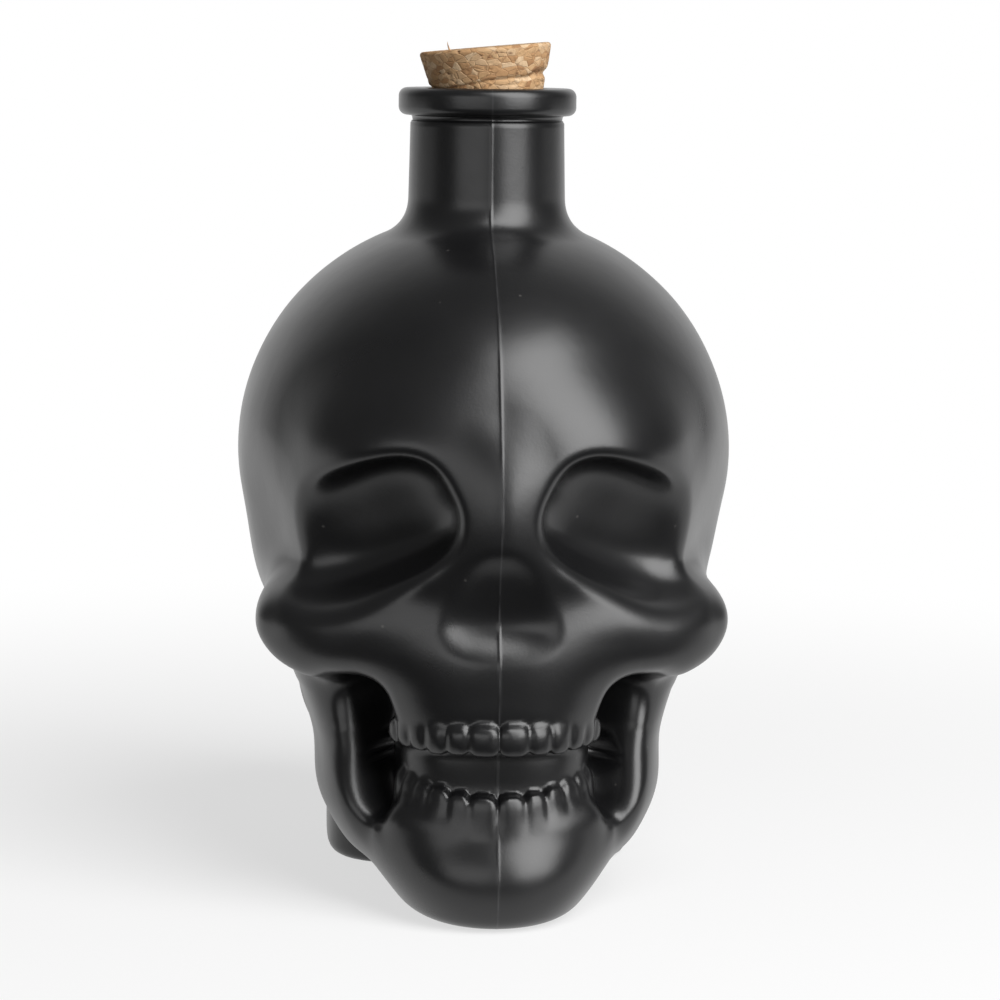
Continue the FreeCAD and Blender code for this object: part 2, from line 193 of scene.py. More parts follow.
mottle = makeMottle()
flecks = makeFlecks()


class Shader:
    # one material with its Principled shader, and short ways to add nodes and links
    def __init__(self, name):
        self.material = bpy.data.materials.new(name)
        self.material.use_nodes = True
        self.tree = self.material.node_tree
        self.principled = self.tree.nodes["Principled BSDF"]
        self.object = self.add("ShaderNodeTexCoord").outputs["Object"]

    def add(self, kind, **values):
        node = self.tree.nodes.new(kind)
        for name, value in values.items():
            setattr(node, name, value)
        return node

    def link(self, source, target):
        self.tree.links.new(source, target)

    def give(self, socket, value):
        # a value may be another socket or a plain number or colour
        if hasattr(value, "is_linked"):
            self.link(value, socket)
        else:
            socket.default_value = value

    def group(self, tree, vector, **values):
        node = self.add("ShaderNodeGroup", node_tree=tree)
        self.link(vector, node.inputs["Vector"])
        for name, value in values.items():
            node.inputs[name].default_value = value
        return node.outputs[0]

    def mix(self, factor, first, second):
        node = self.add("ShaderNodeMix", data_type="RGBA")
        for name, value in (("Factor", factor), ("A", first), ("B", second)):
            self.give(node.inputs[name], value)
        return node.outputs["Result"]

    def math(self, operation, first, second=0.0):
        node = self.add("ShaderNodeMath", operation=operation)
        for socket, value in zip(node.inputs, (first, second)):
            self.give(socket, value)
        return node.outputs["Value"]

    def fit(self, value, low, high, toLow=0.0, toHigh=1.0):
        # eases from one value to another while the input goes from low to high
        node = self.add("ShaderNodeMapRange", interpolation_type="SMOOTHSTEP")
        self.link(value, node.inputs["Value"])
        for name, number in (("From Min", low), ("From Max", high), ("To Min", toLow), ("To Max", toHigh)):
            node.inputs[name].default_value = number
        return node.outputs["Result"]

    def bump(self, height, strength, distance, normal=None):
        node = self.add("ShaderNodeBump")
        node.inputs["Strength"].default_value = strength
        node.inputs["Distance"].default_value = distance
        self.link(height, node.inputs["Height"])
        if normal is not None:
            self.link(normal, node.inputs["Normal"])
        return node.outputs["Normal"]

    def set(self, **values):
        for name, value in values.items():
            self.give(self.principled.inputs[name.replace("_", " ")], value)


# glass bottle: one closed skin from the foot over the skull, neck and rim, and down into the hollow

glass = {
    "formBlend": 10 * mm,
    "midlineSoft": 2 * mm,
    "footRound": 3 * mm,
    "footRingShares": (0.3, 0.6, 0.85, 0.97),
    "wall": 3.2 * mm,
    "floor": 5 * mm,
    "shoulderRise": 11 * mm,
    "shoulderBlend": 6 * mm,
    "skinTopShare": 0.6,          # of the shoulder's rise, where the solved skin meets the plain neck
    "neckRoot": 17.25 * mm,       # radii
    "neckTop": 16.65 * mm,
    "neckRunIn": 6 * mm,
    "stepDrop": 1.4 * mm,         # the fine step below the bead
    "stepInset": 0.45 * mm,
    "stepRound": 0.3 * mm,
    "coveOut": 0.2 * mm,
    "coveRound": 0.55 * mm,
    "beadRadius": 19.3 * mm,
    "beadTall": 5.9 * mm,
    "beadRound": 1.8 * mm,
    "boreRadius": 12.5 * mm,
    "boreEnd": 6 * mm,            # this and the next below the crown's level
    "hollowTop": 7 * mm,
    "mouthChamfer": 0.8 * mm,
    "seamTall": 0.09 * mm,
    "seamHalf": 0.3 * mm,
    "seamCell": 5 * mm,
    "seamUneven": 0.5,
    "waver": 0.1 * mm,            # unevenness of blown glass
    "waverCell": 14 * mm,
    "columns": [(0, 4), (0.6, 66), (28, 46), (66, 30), (178.8, 4)],   # start in degrees, count
    "skinRows": 232,
    "fineRows": 640,
    "evenedOver": 3,              # degrees
    "neckRows": 18,
    "arcRows": {"step": 4, "cove": 6, "bead": 9, "mouth": 6},
    "boreRows": 9,
    "seamNeckRows": 30,           # rows of the neck that the seam runs up, to the bead
    "hollowRows": 28,
    "seed": 4,
}

# rounded forms, blended one after another in this order: centres and radii are shares of the half width, the
# half depth and the crown's level, blends are shares of formBlend, and turns are degrees. A form with square
# 2 is an ellipsoid and more is boxier, outline is the same for its front view alone, and taper narrows it
# upwards, or downwards below zero. A flat top is level and cuts the form off. A cut takes its form away, and
# a form off the middle has a twin
skullShares = [
    dict(name="cranium", centre=(0, 0.06, 0.644), radius=(1, 0.985, 0.356), blend=1),
    dict(name="skullBase", centre=(0, 0.19, 0.46), radius=(0.885, 0.82, 0.19), blend=1.2),
    dict(name="foot", centre=(0, 0.299, 0.069), radius=(0.63, 0.388, 0.28), blend=1, square=3.5),
    dict(name="face", centre=(0, -0.358, 0.512), radius=(0.664, 0.552, 0.235), blend=1.2, square=2.4),
    dict(name="brow", centre=(0.34, -0.65, 0.683), radius=(0.3, 0.18, 0.056), blend=1.3, yaw=22),
    dict(name="temple", cut=True, centre=(1.17, -0.5, 0.53), radius=(0.26, 0.33, 0.125), blend=1.2),
    dict(name="cheek", centre=(0.517, -0.642, 0.412), radius=(0.36, 0.194, 0.074), blend=0.8, square=2.4,
         yaw=24),
    dict(name="cheekArch", centre=(0.752, -0.27, 0.427), radius=(0.118, 0.34, 0.049), blend=0.8, square=2.2,
         yaw=14),
    dict(name="upperJaw", centre=(0, -0.612, 0.339), radius=(0.432, 0.336, 0.138), blend=0.9, square=2.5),
    dict(name="noseBridge", centre=(0, -0.836, 0.581), radius=(0.12, 0.119, 0.111), blend=0.8),
    dict(name="eyeSocket", cut=True, centre=(0.575, -0.881, 0.557), radius=(0.405, 0.235, 0.086), blend=0.36,
         square=3.6, outline=2.9, yaw=24, pitch=18, roll=-22),
    dict(name="noseOpening", cut=True, centre=(0, -1.055, 0.463), radius=(0.19, 0.15, 0.067), blend=0.38,
         square=3.2, outline=2.8, taper=0.4, pitch=16),
    dict(name="lowerJaw", centre=(0, -0.25, 0.228), radius=(0.675, 0.664, 0.228), blend=0.6, square=2.4,
         outline=2, flatTop=0.185, topBlend=0.9),
    dict(name="keel", centre=(0, -0.299, 0.035), radius=(0.277, 0.507, 0.08), blend=0.8, square=2.4),
    dict(name="chin", centre=(0, -0.62, 0.06), radius=(0.388, 0.365, 0.1), blend=1.25, square=2.2, outline=2,
         taper=-0.28),
    dict(name="jawBranch", centre=(0.53, -0.35, 0.27), radius=(0.17, 0.19, 0.165), blend=1.1, square=3,
         taper=-0.25, pitch=-33, roll=-12),
    dict(name="earKnob", centre=(0.62, 0.149, 0.291), radius=(0.13, 0.149, 0.083), blend=1),
    dict(name="stem", centre=(0, -0.04, 0.26), radius=(0.49, 0.45, 0.16), blend=1.2, square=2.4),
    dict(name="jawGap", cut=True, centre=(0.515, -0.69, 0.339), radius=(0.112, 0.25, 0.19), blend=0.55,
         square=2.2, outline=2, yaw=33, roll=-8, flatTop=0.35, topBlend=0.6),
    dict(name="mouth", cut=True, centre=(0, -0.776, 0.2284), radius=(0.47, 0.388, 0.032), blend=0.2,
         square=4),
    dict(name="gums", centre=(0, -0.537, 0.222), radius=(0.376, 0.328, 0.1), blend=0.25, square=2.8),
]

# teeth stand along half an ellipse, the upper row first; widths and heights are shares of the front tooth's,
# and endLift raises the row towards its ends
teeth = {
    "frontWidth": 6.1 * mm,
    "widthShares": (1, 0.78, 0.78, 0.72, 0.7, 0.7),
    "archHalf": 21.3 * mm,
    "archDepth": 20.9 * mm,
    "archMiddleShare": -0.642,
    "fatShare": 1.08,
    "square": 2.3,
    "outline": 3.4,
    "rows": [
        dict(relief=1.8 * mm, crease=0.8 * mm, tall=6.6 * mm, tallShares=(1, 0.95, 1, 0.92, 0.9, 0.86),
             planShare=1, levelShare=0.279, endLift=-0.3 * mm),
        dict(relief=1.6 * mm, crease=1.1 * mm, tall=12 * mm, tallShares=(1, 1, 1.05, 1, 1, 1),
             planShare=0.955, levelShare=0.1535, endLift=5 * mm),
    ],
}


def turnRows(yaw=0, pitch=0, roll=0):
    # takes a point into a form's own axes: yaw about Z, then pitch about X, then roll about Y
    cy, sy = math.cos(math.radians(yaw)), math.sin(math.radians(yaw))
    cp, sp = math.cos(math.radians(pitch)), math.sin(math.radians(pitch))
    cr, sr = math.cos(math.radians(roll)), math.sin(math.radians(roll))
    side = np.array([cy, sy, 0])
    front = np.array([-sy * cp, cy * cp, sp])
    upper = np.array([sy * sp, -cy * sp, cp])
    return np.stack([cr * side + sr * upper, front, cr * upper - sr * side])


def makeForm(centre, radius, blend, square=2, outline=None, taper=0, turns=None, cut=False, flatTop=None,
             topBlend=None, soft=glass["midlineSoft"]):
    # a form in metres, and the levels that it and its blend stay between: its turned half height, and more
    # where it is boxy
    rows = turnRows(**(turns or {}))
    reach = max(np.sqrt(((rows[:, 2] * radius) ** 2).sum()), radius[2]) * math.sqrt(square / 2) + blend
    return dict(centre=centre, radius=radius, blend=blend, square=square, outline=outline or square,
                taper=taper, rows=rows, cut=cut, twin=centre[0] != 0, flatTop=flatTop, topBlend=topBlend,
                soft=soft, low=centre[2] - reach, high=centre[2] + reach)


def skullForms():
    # the shares above, times the sizes that they are shares of
    forms = []
    for shares in skullShares:
        turns = {name: shares[name] for name in ("yaw", "pitch", "roll") if name in shares}
        flatTop = shares["flatTop"] * crownLevel if "flatTop" in shares else None
        forms.append(makeForm(np.array(shares["centre"]) * formScale, np.array(shares["radius"]) * formScale,
                              shares["blend"] * glass["formBlend"], shares.get("square", 2),
                              shares.get("outline"), shares.get("taper", 0), turns, shares.get("cut", False),
                              flatTop, shares.get("topBlend", 1) * glass["formBlend"]))
    return forms


def toothForms(row):
    # each tooth's middle is half its width further along the arch than its edge
    half, depth = teeth["archHalf"], teeth["archDepth"]
    forms = []
    edge = 0
    for widthShare, tallShare in zip(teeth["widthShares"], row["tallShares"]):
        width = widthShare * teeth["frontWidth"]
        middle = edge + width / 2 / math.hypot(half * math.cos(edge), depth * math.sin(edge))
        edge += width / math.hypot(half * math.cos(middle), depth * math.sin(middle))
        x = half * math.sin(middle)
        y = teeth["archMiddleShare"] * halfDepth - depth * math.cos(middle)
        z = row["levelShare"] * crownLevel + row["endLift"] * (1 - math.cos(middle))
        yaw = math.degrees(math.atan2(depth * math.sin(middle), half * math.cos(middle)))
        radius = np.array([teeth["fatShare"] * row["planShare"] * width / 2, row["relief"],
                           tallShare * row["tall"] / 2])
        forms.append(makeForm(np.array([row["planShare"] * x, row["planShare"] * y, z]), radius,
                              row["crease"], teeth["square"], teeth["outline"], turns={"yaw": yaw}, soft=0))
    return forms


leastNorm = 1e-12
leastSlope = 1e-9


def formDistance(form, x, y, z):
    # about how far a point lies outside a superellipsoid: its norm less one, over the norm's slope. The norm
    # joins the side and height parts by the outline's power first, and then the depth part by the form's own
    offset = np.stack([x - form["centre"][0], y - form["centre"][1], z - form["centre"][2]])
    local = np.tensordot(form["rows"], offset, axes=1) / form["radius"][:, None, None]
    narrowing = 1 - form["taper"] * np.clip(local[2], -1, 1)
    side, depth, tall = np.abs(local[0]) / narrowing, np.abs(local[1]), np.abs(local[2])
    power, outline = form["square"], form["outline"]
    front = np.maximum(side ** outline + tall ** outline, leastNorm) ** (1 / outline)
    norm = np.maximum(front ** power + depth ** power, leastNorm) ** (1 / power)
    frontPull = (front / norm) ** (power - 1)
    slope = np.sqrt((frontPull * (side / front) ** (outline - 1) / narrowing / form["radius"][0]) ** 2
                    + ((depth / norm) ** (power - 1) / form["radius"][1]) ** 2
                    + (frontPull * (tall / front) ** (outline - 1) / form["radius"][2]) ** 2)
    distance = (norm - 1) / np.maximum(slope, leastSlope)
    if form["flatTop"] is not None:
        distance = softMax(distance, z - form["flatTop"], form["topBlend"])
    return distance


def skinField(forms, x, y, z):
    # the forms' distances joined in turn by the soft minimum, or for a cut by the soft maximum with its
    # negative. Twins meet softly in the middle plane, but the front teeth meet in a groove
    field = None
    for form in forms:
        side = np.sqrt(x * x + form["soft"] ** 2) if form["twin"] else x
        distance = formDistance(form, side, y, z)
        if field is None:
            field = distance
        elif form["cut"]:
            field = softMax(field, -distance, form["blend"])
        else:
            field = softMin(field, distance, form["blend"])
    return field


def neckRadius(z):
    # a straight taper from just inside the crown up to the bead
    start = crownLevel - glass["neckRunIn"]
    share = (z - start) / (rimLevel - glass["beadTall"] - start)
    return glass["neckRoot"] + (glass["neckTop"] - glass["neckRoot"]) * share


walk = {"slabs": 24, "steps": 44, "stepShare": 0.85, "coreShare": 0.6}     # the core's share is of the bore


def solveRadius(forms, angles, levels, inside=False):
    # level rays from the neck's axis walk by a share of the field's value until they meet the skin, slab by
    # slab with only the forms that reach it. Outside, the neck is joined on; inside, the skin lies a wall's
    # thickness deeper, and a slim core on the axis keeps the hollow open
    radius = np.zeros((len(angles), len(levels)))
    side, ahead = np.sin(angles)[:, None], -np.cos(angles)[:, None]
    core = walk["coreShare"] * glass["boreRadius"]
    for slab in np.array_split(np.arange(len(levels)), walk["slabs"]):
        z = np.broadcast_to(levels[slab], (len(angles), len(slab)))
        near = [form for form in forms
                if form is forms[0] or (form["low"] < z.max() and form["high"] > z.min())]
        reach = np.full(z.shape, core if inside else 2 * halfDepth)
        for step in range(walk["steps"]):
            field = skinField(near, reach * side, reach * ahead, z)
            if inside:
                field = softMin(field + glass["wall"], reach - core, glass["wall"])
            else:
                field = softMax(field, -z, glass["footRound"])
                neck = np.maximum(reach - neckRadius(z), crownLevel - glass["shoulderRise"] - z)
                field = softMin(field, neck, glass["shoulderBlend"])
            reach = np.maximum(reach - walk["stepShare"] * field, 0)
        radius[:, slab] = reach
    return radius


def evenRows(angles, levels, radius, count):
    # rows evenly spaced along each column's own outline; the spacing is evened out between neighbouring
    # columns, with a bell-shaped weight of a few degrees, so that the rows don't jump at a ledge
    steps = np.hypot(np.diff(radius, axis=1), np.diff(levels))
    length = np.concatenate([np.zeros((len(angles), 1)), np.cumsum(steps, axis=1)], axis=1)
    length /= length[:, -1:]
    width = math.radians(glass["evenedOver"])
    weight = sum(np.exp(-((angles[:, None] - way * angles) / width) ** 2 / 2) for way in (1, -1))
    length = weight / weight.sum(axis=1, keepdims=True) @ length
    share = np.linspace(0, 1, count)
    z = np.stack([np.interp(share, row, levels) for row in length])
    r = np.stack([np.interp(share, row, found) for row, found in zip(length, radius)])
    return z, r


def arcPoints(centre, radius, start, end, count):
    # points (radius, level) on an arc, its angles in degrees from the outward direction
    turn = np.radians(np.linspace(start, end, count))
    return np.stack([centre[0] + radius * np.cos(turn), centre[1] + radius * np.sin(turn)], axis=1)


def neckProfile(low):
    # (radius, level) from the shoulder up the neck, round the bead and the rim, and down the bore
    bead, edge, chamfer = glass["beadRadius"], glass["beadRound"], glass["mouthChamfer"]
    rows = glass["arcRows"]
    under = rimLevel - glass["beadTall"]
    wallLevels = np.linspace(low, under - glass["stepDrop"] - glass["stepRound"], glass["neckRows"])[1:]
    wall = np.stack([neckRadius(wallLevels), wallLevels], axis=1)
    stepMiddle = (neckRadius(under) - glass["stepInset"], under - glass["stepDrop"])
    step = arcPoints(stepMiddle, glass["stepRound"], 0, 90, rows["step"])
    coveMiddle = (neckRadius(under) + glass["coveOut"], under - glass["coveRound"])
    cove = arcPoints(coveMiddle, glass["coveRound"], 180, 90, rows["cove"])
    lower = arcPoints((bead - edge, under + edge), edge, -90, 0, rows["bead"])
    upper = arcPoints((bead - edge, rimLevel - edge), edge, 0, 90, rows["bead"])
    lip = glass["boreRadius"] + chamfer
    mouth = arcPoints((lip, rimLevel - chamfer), chamfer, 90, 180, rows["mouth"])
    boreLevels = np.linspace(rimLevel - chamfer, crownLevel - glass["boreEnd"], glass["boreRows"])[1:]
    bore = np.stack([np.full(len(boreLevels), glass["boreRadius"]), boreLevels], axis=1)
    return np.concatenate([wall, step, cove, lower, upper, mouth, bore])


def makeGlassBottle():
    # half of the skin is solved, by angle from the face and by level, and then mirrored
    angles = np.radians(spread(glass["columns"], 180))
    forms = skullForms()
    outerForms = forms + [form for row in teeth["rows"] for form in toothForms(row)]
    top = crownLevel + glass["skinTopShare"] * glass["shoulderRise"]
    levels = np.linspace(0, top, glass["fineRows"])
    z, r = evenRows(angles, levels, solveRadius(outerForms, angles, levels), glass["skinRows"])
    print("glass skin solved", z.shape)

    profile = neckProfile(top)
    z = np.concatenate([z, np.tile(profile[:, 1], (len(angles), 1))], axis=1)
    r = np.concatenate([r, np.tile(profile[:, 0], (len(angles), 1))], axis=1)

    # fine unevenness of the blown skin, and the raised seam where the mould's halves met
    spots = np.stack([r * np.sin(angles)[:, None], -r * np.cos(angles)[:, None], z], axis=-1)
    r = r + glass["waver"] * latticeNoise(spots, glass["waverCell"], glass["seed"])
    seamNoise = latticeNoise(spots * [0, 1, 1], glass["seamCell"], glass["seed"] + 1)
    seamTall = glass["seamTall"] * (1 + glass["seamUneven"] * seamNoise)
    outside = np.arange(z.shape[1]) < glass["skinRows"] + glass["seamNeckRows"]
    r = r + outside * seamTall * np.exp(-(spots[..., 0] / glass["seamHalf"]) ** 2)

    # the hollow, from the shoulder down to the floor
    inLevels = np.linspace(crownLevel - glass["hollowTop"], glass["floor"], glass["hollowRows"])
    inRadius = solveRadius(forms, angles, inLevels[::-1], inside=True)[:, ::-1]
    z = np.concatenate([z, np.tile(inLevels, (len(angles), 1))], axis=1)
    r = np.concatenate([r, inRadius], axis=1)

    # flat foot: the first ring drawn in towards its middle
    ringShares = np.array(glass["footRingShares"])
    z = np.concatenate([np.zeros((len(angles), len(ringShares))), z], axis=1)
    r = np.concatenate([r[:, :1] * ringShares, r], axis=1)

    turn = np.concatenate([angles, -angles[-2:0:-1]])
    z = np.concatenate([z, z[-2:0:-1]])
    r = np.concatenate([r, r[-2:0:-1]])
    rings = np.stack([r * np.sin(turn)[:, None], -r * np.cos(turn)[:, None], z], axis=-1).transpose(1, 0, 2)
    return ringMesh("skull_glass", rings)


glassFinish = {
    "tones": ((0.0045, 0.0045, 0.005, 1), (0.0075, 0.0075, 0.008, 1)),
    "cloud": dict(Scale=55, Detail=4, Low=0, High=1),
    "wornTone": (0.05, 0.05, 0.052, 1),
    "wornHalf": (0.06 * mm, 0.26 * mm),          # from full to none, on either side of the seam
    "worn": dict(Scale=210, Detail=5, Low=0, High=0.6),
    "dustTone": (0.2, 0.19, 0.18, 1),
    "dustShare": 0.35,
    "dust": dict(Scale=420, Rarity=0.985, Size=0.18),
    "roughness": dict(Scale=38, Detail=5, Low=0.27, High=0.34),
    "grain": dict(Scale=1900, Detail=2, Low=0, High=1),
    "grainRelief": (0.25, 0.02 * mm),            # strength and height
    "swell": dict(Scale=150, Detail=2, Low=0, High=1),
    "swellRelief": (0.3, 0.06 * mm),
    "gloss": dict(IOR=1.52, Specular_IOR_Level=0.6),
}


def makeGlassMaterial():
    # sprayed satin black: a soft sheen that varies a little, pale wear along the seam, and dust
    shader = Shader("satin_black_glass")
    cloud, worn, roughness, grain, swell = (shader.group(mottle, shader.object, **glassFinish[name])
                                            for name in ("cloud", "worn", "roughness", "grain", "swell"))
    dust = shader.group(flecks, shader.object, **glassFinish["dust"])
    parts = shader.add("ShaderNodeSeparateXYZ")
    shader.link(shader.object, parts.inputs["Vector"])
    seam = shader.fit(shader.math("ABSOLUTE", parts.outputs["X"]), *glassFinish["wornHalf"], 1, 0)
    base = shader.mix(cloud, *glassFinish["tones"])
    base = shader.mix(shader.math("MULTIPLY", seam, worn), base, glassFinish["wornTone"])
    base = shader.mix(shader.math("MULTIPLY", dust, glassFinish["dustShare"]), base, glassFinish["dustTone"])
    normal = shader.bump(grain, *glassFinish["grainRelief"])
    normal = shader.bump(swell, *glassFinish["swellRelief"], normal)
    shader.set(Base_Color=base, Roughness=roughness, Normal=normal, **glassFinish["gloss"])
    return shader.material


bottlePiece = makeGlassBottle()
bottlePiece.data.materials.append(makeGlassMaterial())
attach(bottlePiece, "bottle")
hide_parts("glass_bottle")
print("glass bottle", len(bottlePiece.data.polygons), "faces")


# cork: pressed granules, turned to a taper, leaning in the mouth, with an old crack round its waist

cork = {
    "lean": 5.2,                  # degrees, top towards -X
    "bottomShare": 0.669,         # these three of the top radius
    "tallShare": 1.507,
    "edgeShare": 0.05,
    "edgeTurn": 80,               # degrees
    "lowEdgeRows": 6,
    "highEdgeRows": 7,
    "columns": 300,
    "sideRows": 150,
    "capRows": 26,
    "capStartShare": 0.04,        # innermost ring of each end
    "pit": 0.16 * mm,
    "pitCell": 1.3 * mm,
    "fineCell": 0.6 * mm,
    "fineShare": 0.6,
    "pitFrom": 0.35,              # noise above this is a pit
    "pitGain": 2.2,
    "groundShare": 0.25,
    "crackLevelShare": 0.668,     # of the height, in the middle
    "crackSlope": 0.055,
    "crackWander": 0.5 * mm,
    "crackCell": 4 * mm,
    "crackHalf": 0.32 * mm,
    "crackWiden": 1.5,
    "widenFrom": (4 * mm, 13 * mm),
    "crackDeep": 0.75 * mm,
    "shallowShare": 0.35,
    "deepenFrom": (-4 * mm, 12 * mm),
    "squeeze": 0.22 * mm,
    "squeezeHalf": 0.6 * mm,
    "sideFromShares": (0.93, 0.99),   # of the outline's radius, where the ends pass into the side
    "seed": 11,
}
leastRadius = 1e-6


def corkProfile(topRadius):
    # (radius, level) along the cork's outline, from the middle of its bottom to the middle of its top
    bottom = cork["bottomShare"] * topRadius
    tall = cork["tallShare"] * topRadius
    edge = cork["edgeShare"] * topRadius
    taper = math.degrees(math.atan2(topRadius - bottom, tall))
    rows, turn = cork["capRows"], cork["edgeTurn"]
    capShares = np.linspace(cork["capStartShare"], 1, rows)
    under = np.stack([capShares * (bottom - edge), np.zeros(rows)], axis=1)
    lowEdge = arcPoints((bottom - edge, edge), edge, -turn, -taper, cork["lowEdgeRows"])
    highEdge = arcPoints((topRadius - edge, tall - edge), edge, -taper, turn, cork["highEdgeRows"])
    share = np.linspace(0, 1, cork["sideRows"])[1:-1, None]
    side = lowEdge[-1] * (1 - share) + highEdge[0] * share
    over = np.stack([capShares[::-1] * (topRadius - edge), np.full(rows, tall)], axis=1)
    return np.concatenate([under, lowEdge, side, highEdge, over])


def corkPlace(points, shift):
    # lean the cork about Y and move it to its place
    lean = np.array(Matrix.Rotation(-math.radians(cork["lean"]), 3, "Y"))
    return points @ lean.T + shift


def makeCork():
    # the profile turned about the cork's own axis, and moved so that its box has the solid's middle
    profile = corkProfile((corkHigh.y - corkLow.y) / 2)
    turn = np.linspace(0, 2 * math.pi, cork["columns"], endpoint=False)
    rings = np.stack([profile[:, :1] * np.sin(turn), -profile[:, :1] * np.cos(turn),
                      np.broadcast_to(profile[:, 1:], (len(profile), len(turn)))], axis=-1)
    plain = corkPlace(rings, np.zeros(3))
    plainMiddle = (plain.min(axis=(0, 1)) + plain.max(axis=(0, 1))) / 2
    shift = (np.array(corkLow) + np.array(corkHigh)) / 2 - plainMiddle
    side, level = rings[..., 0], rings[..., 2]
    tall, topRadius = profile[:, 1].max(), profile[:, 0].max()

    # granules: pits where two scales of noise fall together, pressed inwards along the radius and the ends
    rough = latticeNoise(rings, cork["pitCell"], cork["seed"])
    rough = rough + cork["fineShare"] * latticeNoise(rings, cork["fineCell"], cork["seed"] + 1)
    pits = np.maximum(rough - cork["pitFrom"], 0) * cork["pitGain"] + cork["groundShare"] * np.abs(rough)
    pits = cork["pit"] * pits
    # crack: a slanting plane that rises to +X, open in front and widest at its right end
    wander = cork["crackWander"] * latticeNoise(rings * [1, 1, 0], cork["crackCell"], cork["seed"] + 2)
    above = level - (cork["crackLevelShare"] * tall + cork["crackSlope"] * side + wander)
    width = cork["crackHalf"] * (1 + cork["crackWiden"] * smoothStep(*cork["widenFrom"], side))
    shallow = cork["shallowShare"]
    deep = cork["crackDeep"] * (shallow + (1 - shallow) * smoothStep(*cork["deepenFrom"], side))
    crack = deep * np.exp(-(above / width) ** 2)
    # below the crack the plug is squeezed a little
    squeeze = cork["squeeze"] * smoothStep(cork["squeezeHalf"], -cork["squeezeHalf"], above)
    radial = np.linalg.norm(rings[..., :2], axis=-1)
    outline = np.interp(level, [0, tall], [topRadius * cork["bottomShare"], topRadius])
    onSide = smoothStep(*cork["sideFromShares"], radial / np.maximum(outline, leastRadius))
    scale = 1 - onSide * (pits + crack + squeeze) / np.maximum(radial, leastRadius)
    pressed = level - (1 - onSide) * pits * np.sign(level - tall / 2)
    rings = np.concatenate([rings[..., :2] * scale[..., None], pressed[..., None]], axis=-1)
    return ringMesh("cork_plug", corkPlace(rings, shift)), shift, tall


corkFinish = {
    "warpScale": 420,
    "warp": (1.4 * mm, 1.4 * mm, 0.8 * mm),
    "flatten": (1, 1, 1.7),                      # granules lie flat
    "granuleScale": 480,
    "granuleTones": [(0, (0.3, 0.15, 0.065, 1)), (0.16, (0.47, 0.27, 0.125, 1)),
                     (0.5, (0.57, 0.36, 0.185, 1)), (0.8, (0.63, 0.43, 0.25, 1)), (1, (0.7, 0.52, 0.33, 1))],
    "cloud": dict(Scale=900, Detail=5, Low=0, High=0.45),
    "cloudTone": (0.36, 0.2, 0.09, 1),
    "cloudRelief": (0.5, 0.1 * mm),              # strength and height
    "gap": (0, 0.09, 0.55, 0),                   # painted shade in the gaps between granules: from a granule's edge to this far in, and how dark there
    "gapShadeTone": (0.22, 0.1, 0.04, 1),
    "patchy": dict(Scale=330, Detail=2, Low=0, High=1),
    "bark": dict(Scale=620, Rarity=0.8, Size=0.42),
    "barkTone": (0.11, 0.042, 0.018, 1),
    "barkShare": 0.85,
    "granuleRound": (0, 0.12),
    "granuleRelief": (0.5, 0.16 * mm),
    "roughness": 0.82,
}


def makeCorkMaterial():
    # pressed granules in tan tones, painted shade in the gaps between them, and dark reddish-brown specks of
    # bark
    shader = Shader("pressed_cork")
    warp = shader.add("ShaderNodeTexNoise")
    warp.inputs["Scale"].default_value = corkFinish["warpScale"]
    shader.link(shader.object, warp.inputs["Vector"])
    push = shader.add("ShaderNodeVectorMath", operation="MULTIPLY_ADD")
    shader.link(warp.outputs["Color"], push.inputs[0])
    push.inputs[1].default_value = corkFinish["warp"]
    shader.link(shader.object, push.inputs[2])
    stretch = shader.add("ShaderNodeMapping")
    stretch.inputs["Scale"].default_value = corkFinish["flatten"]
    shader.link(push.outputs["Vector"], stretch.inputs["Vector"])
    cells = shader.add("ShaderNodeTexVoronoi")
    gaps = shader.add("ShaderNodeTexVoronoi", feature="DISTANCE_TO_EDGE")
    for node in (cells, gaps):
        node.inputs["Scale"].default_value = corkFinish["granuleScale"]
        shader.link(stretch.outputs["Vector"], node.inputs["Vector"])
    tone = shader.add("ShaderNodeSeparateColor")
    shader.link(cells.outputs["Color"], tone.inputs["Color"])
    ramp = shader.add("ShaderNodeValToRGB")
    stops = corkFinish["granuleTones"]
    elements = ramp.color_ramp.elements
    elements[0].position, elements[0].color = stops[0]
    elements[1].position, elements[1].color = stops[-1]
    for place, colour in stops[1:-1]:
        elements.new(place).color = colour
    shader.link(tone.outputs["Green"], ramp.inputs["Fac"])
    cloud = shader.group(mottle, shader.object, **corkFinish["cloud"])
    colour = shader.mix(cloud, ramp.outputs["Color"], corkFinish["cloudTone"])
    # painted shade: granules darken towards their edges, in patches, where the bump leaves gaps between them
    gap = shader.fit(gaps.outputs["Distance"], *corkFinish["gap"])
    patchy = shader.group(mottle, shader.object, **corkFinish["patchy"])
    colour = shader.mix(shader.math("MULTIPLY", gap, patchy), colour, corkFinish["gapShadeTone"])
    bark = shader.group(flecks, stretch.outputs["Vector"], **corkFinish["bark"])
    barkMask = shader.math("MULTIPLY", bark, corkFinish["barkShare"])
    colour = shader.mix(barkMask, colour, corkFinish["barkTone"])
    height = shader.math("SUBTRACT", shader.fit(gaps.outputs["Distance"], *corkFinish["granuleRound"]), bark)
    normal = shader.bump(height, *corkFinish["granuleRelief"])
    normal = shader.bump(cloud, *corkFinish["cloudRelief"], normal)
    shader.set(Base_Color=colour, Roughness=corkFinish["roughness"], Normal=normal)
    return shader.material


# splinter: a thin fibre that stands up at the front left edge of the cork's top

fibre = {
    "rows": 14,
    "columns": 8,
    "root": (-7.9 * mm, -8.6 * mm),
    "sunk": 0.4 * mm,
    "rise": (-1.1 * mm, 0.3 * mm, 1.9 * mm),
    "bend": (0.55 * mm, 0, 0.35 * mm),
    "thick": 0.24 * mm,
    "tip": 0.015 * mm,
    "taperPower": 0.7,
}


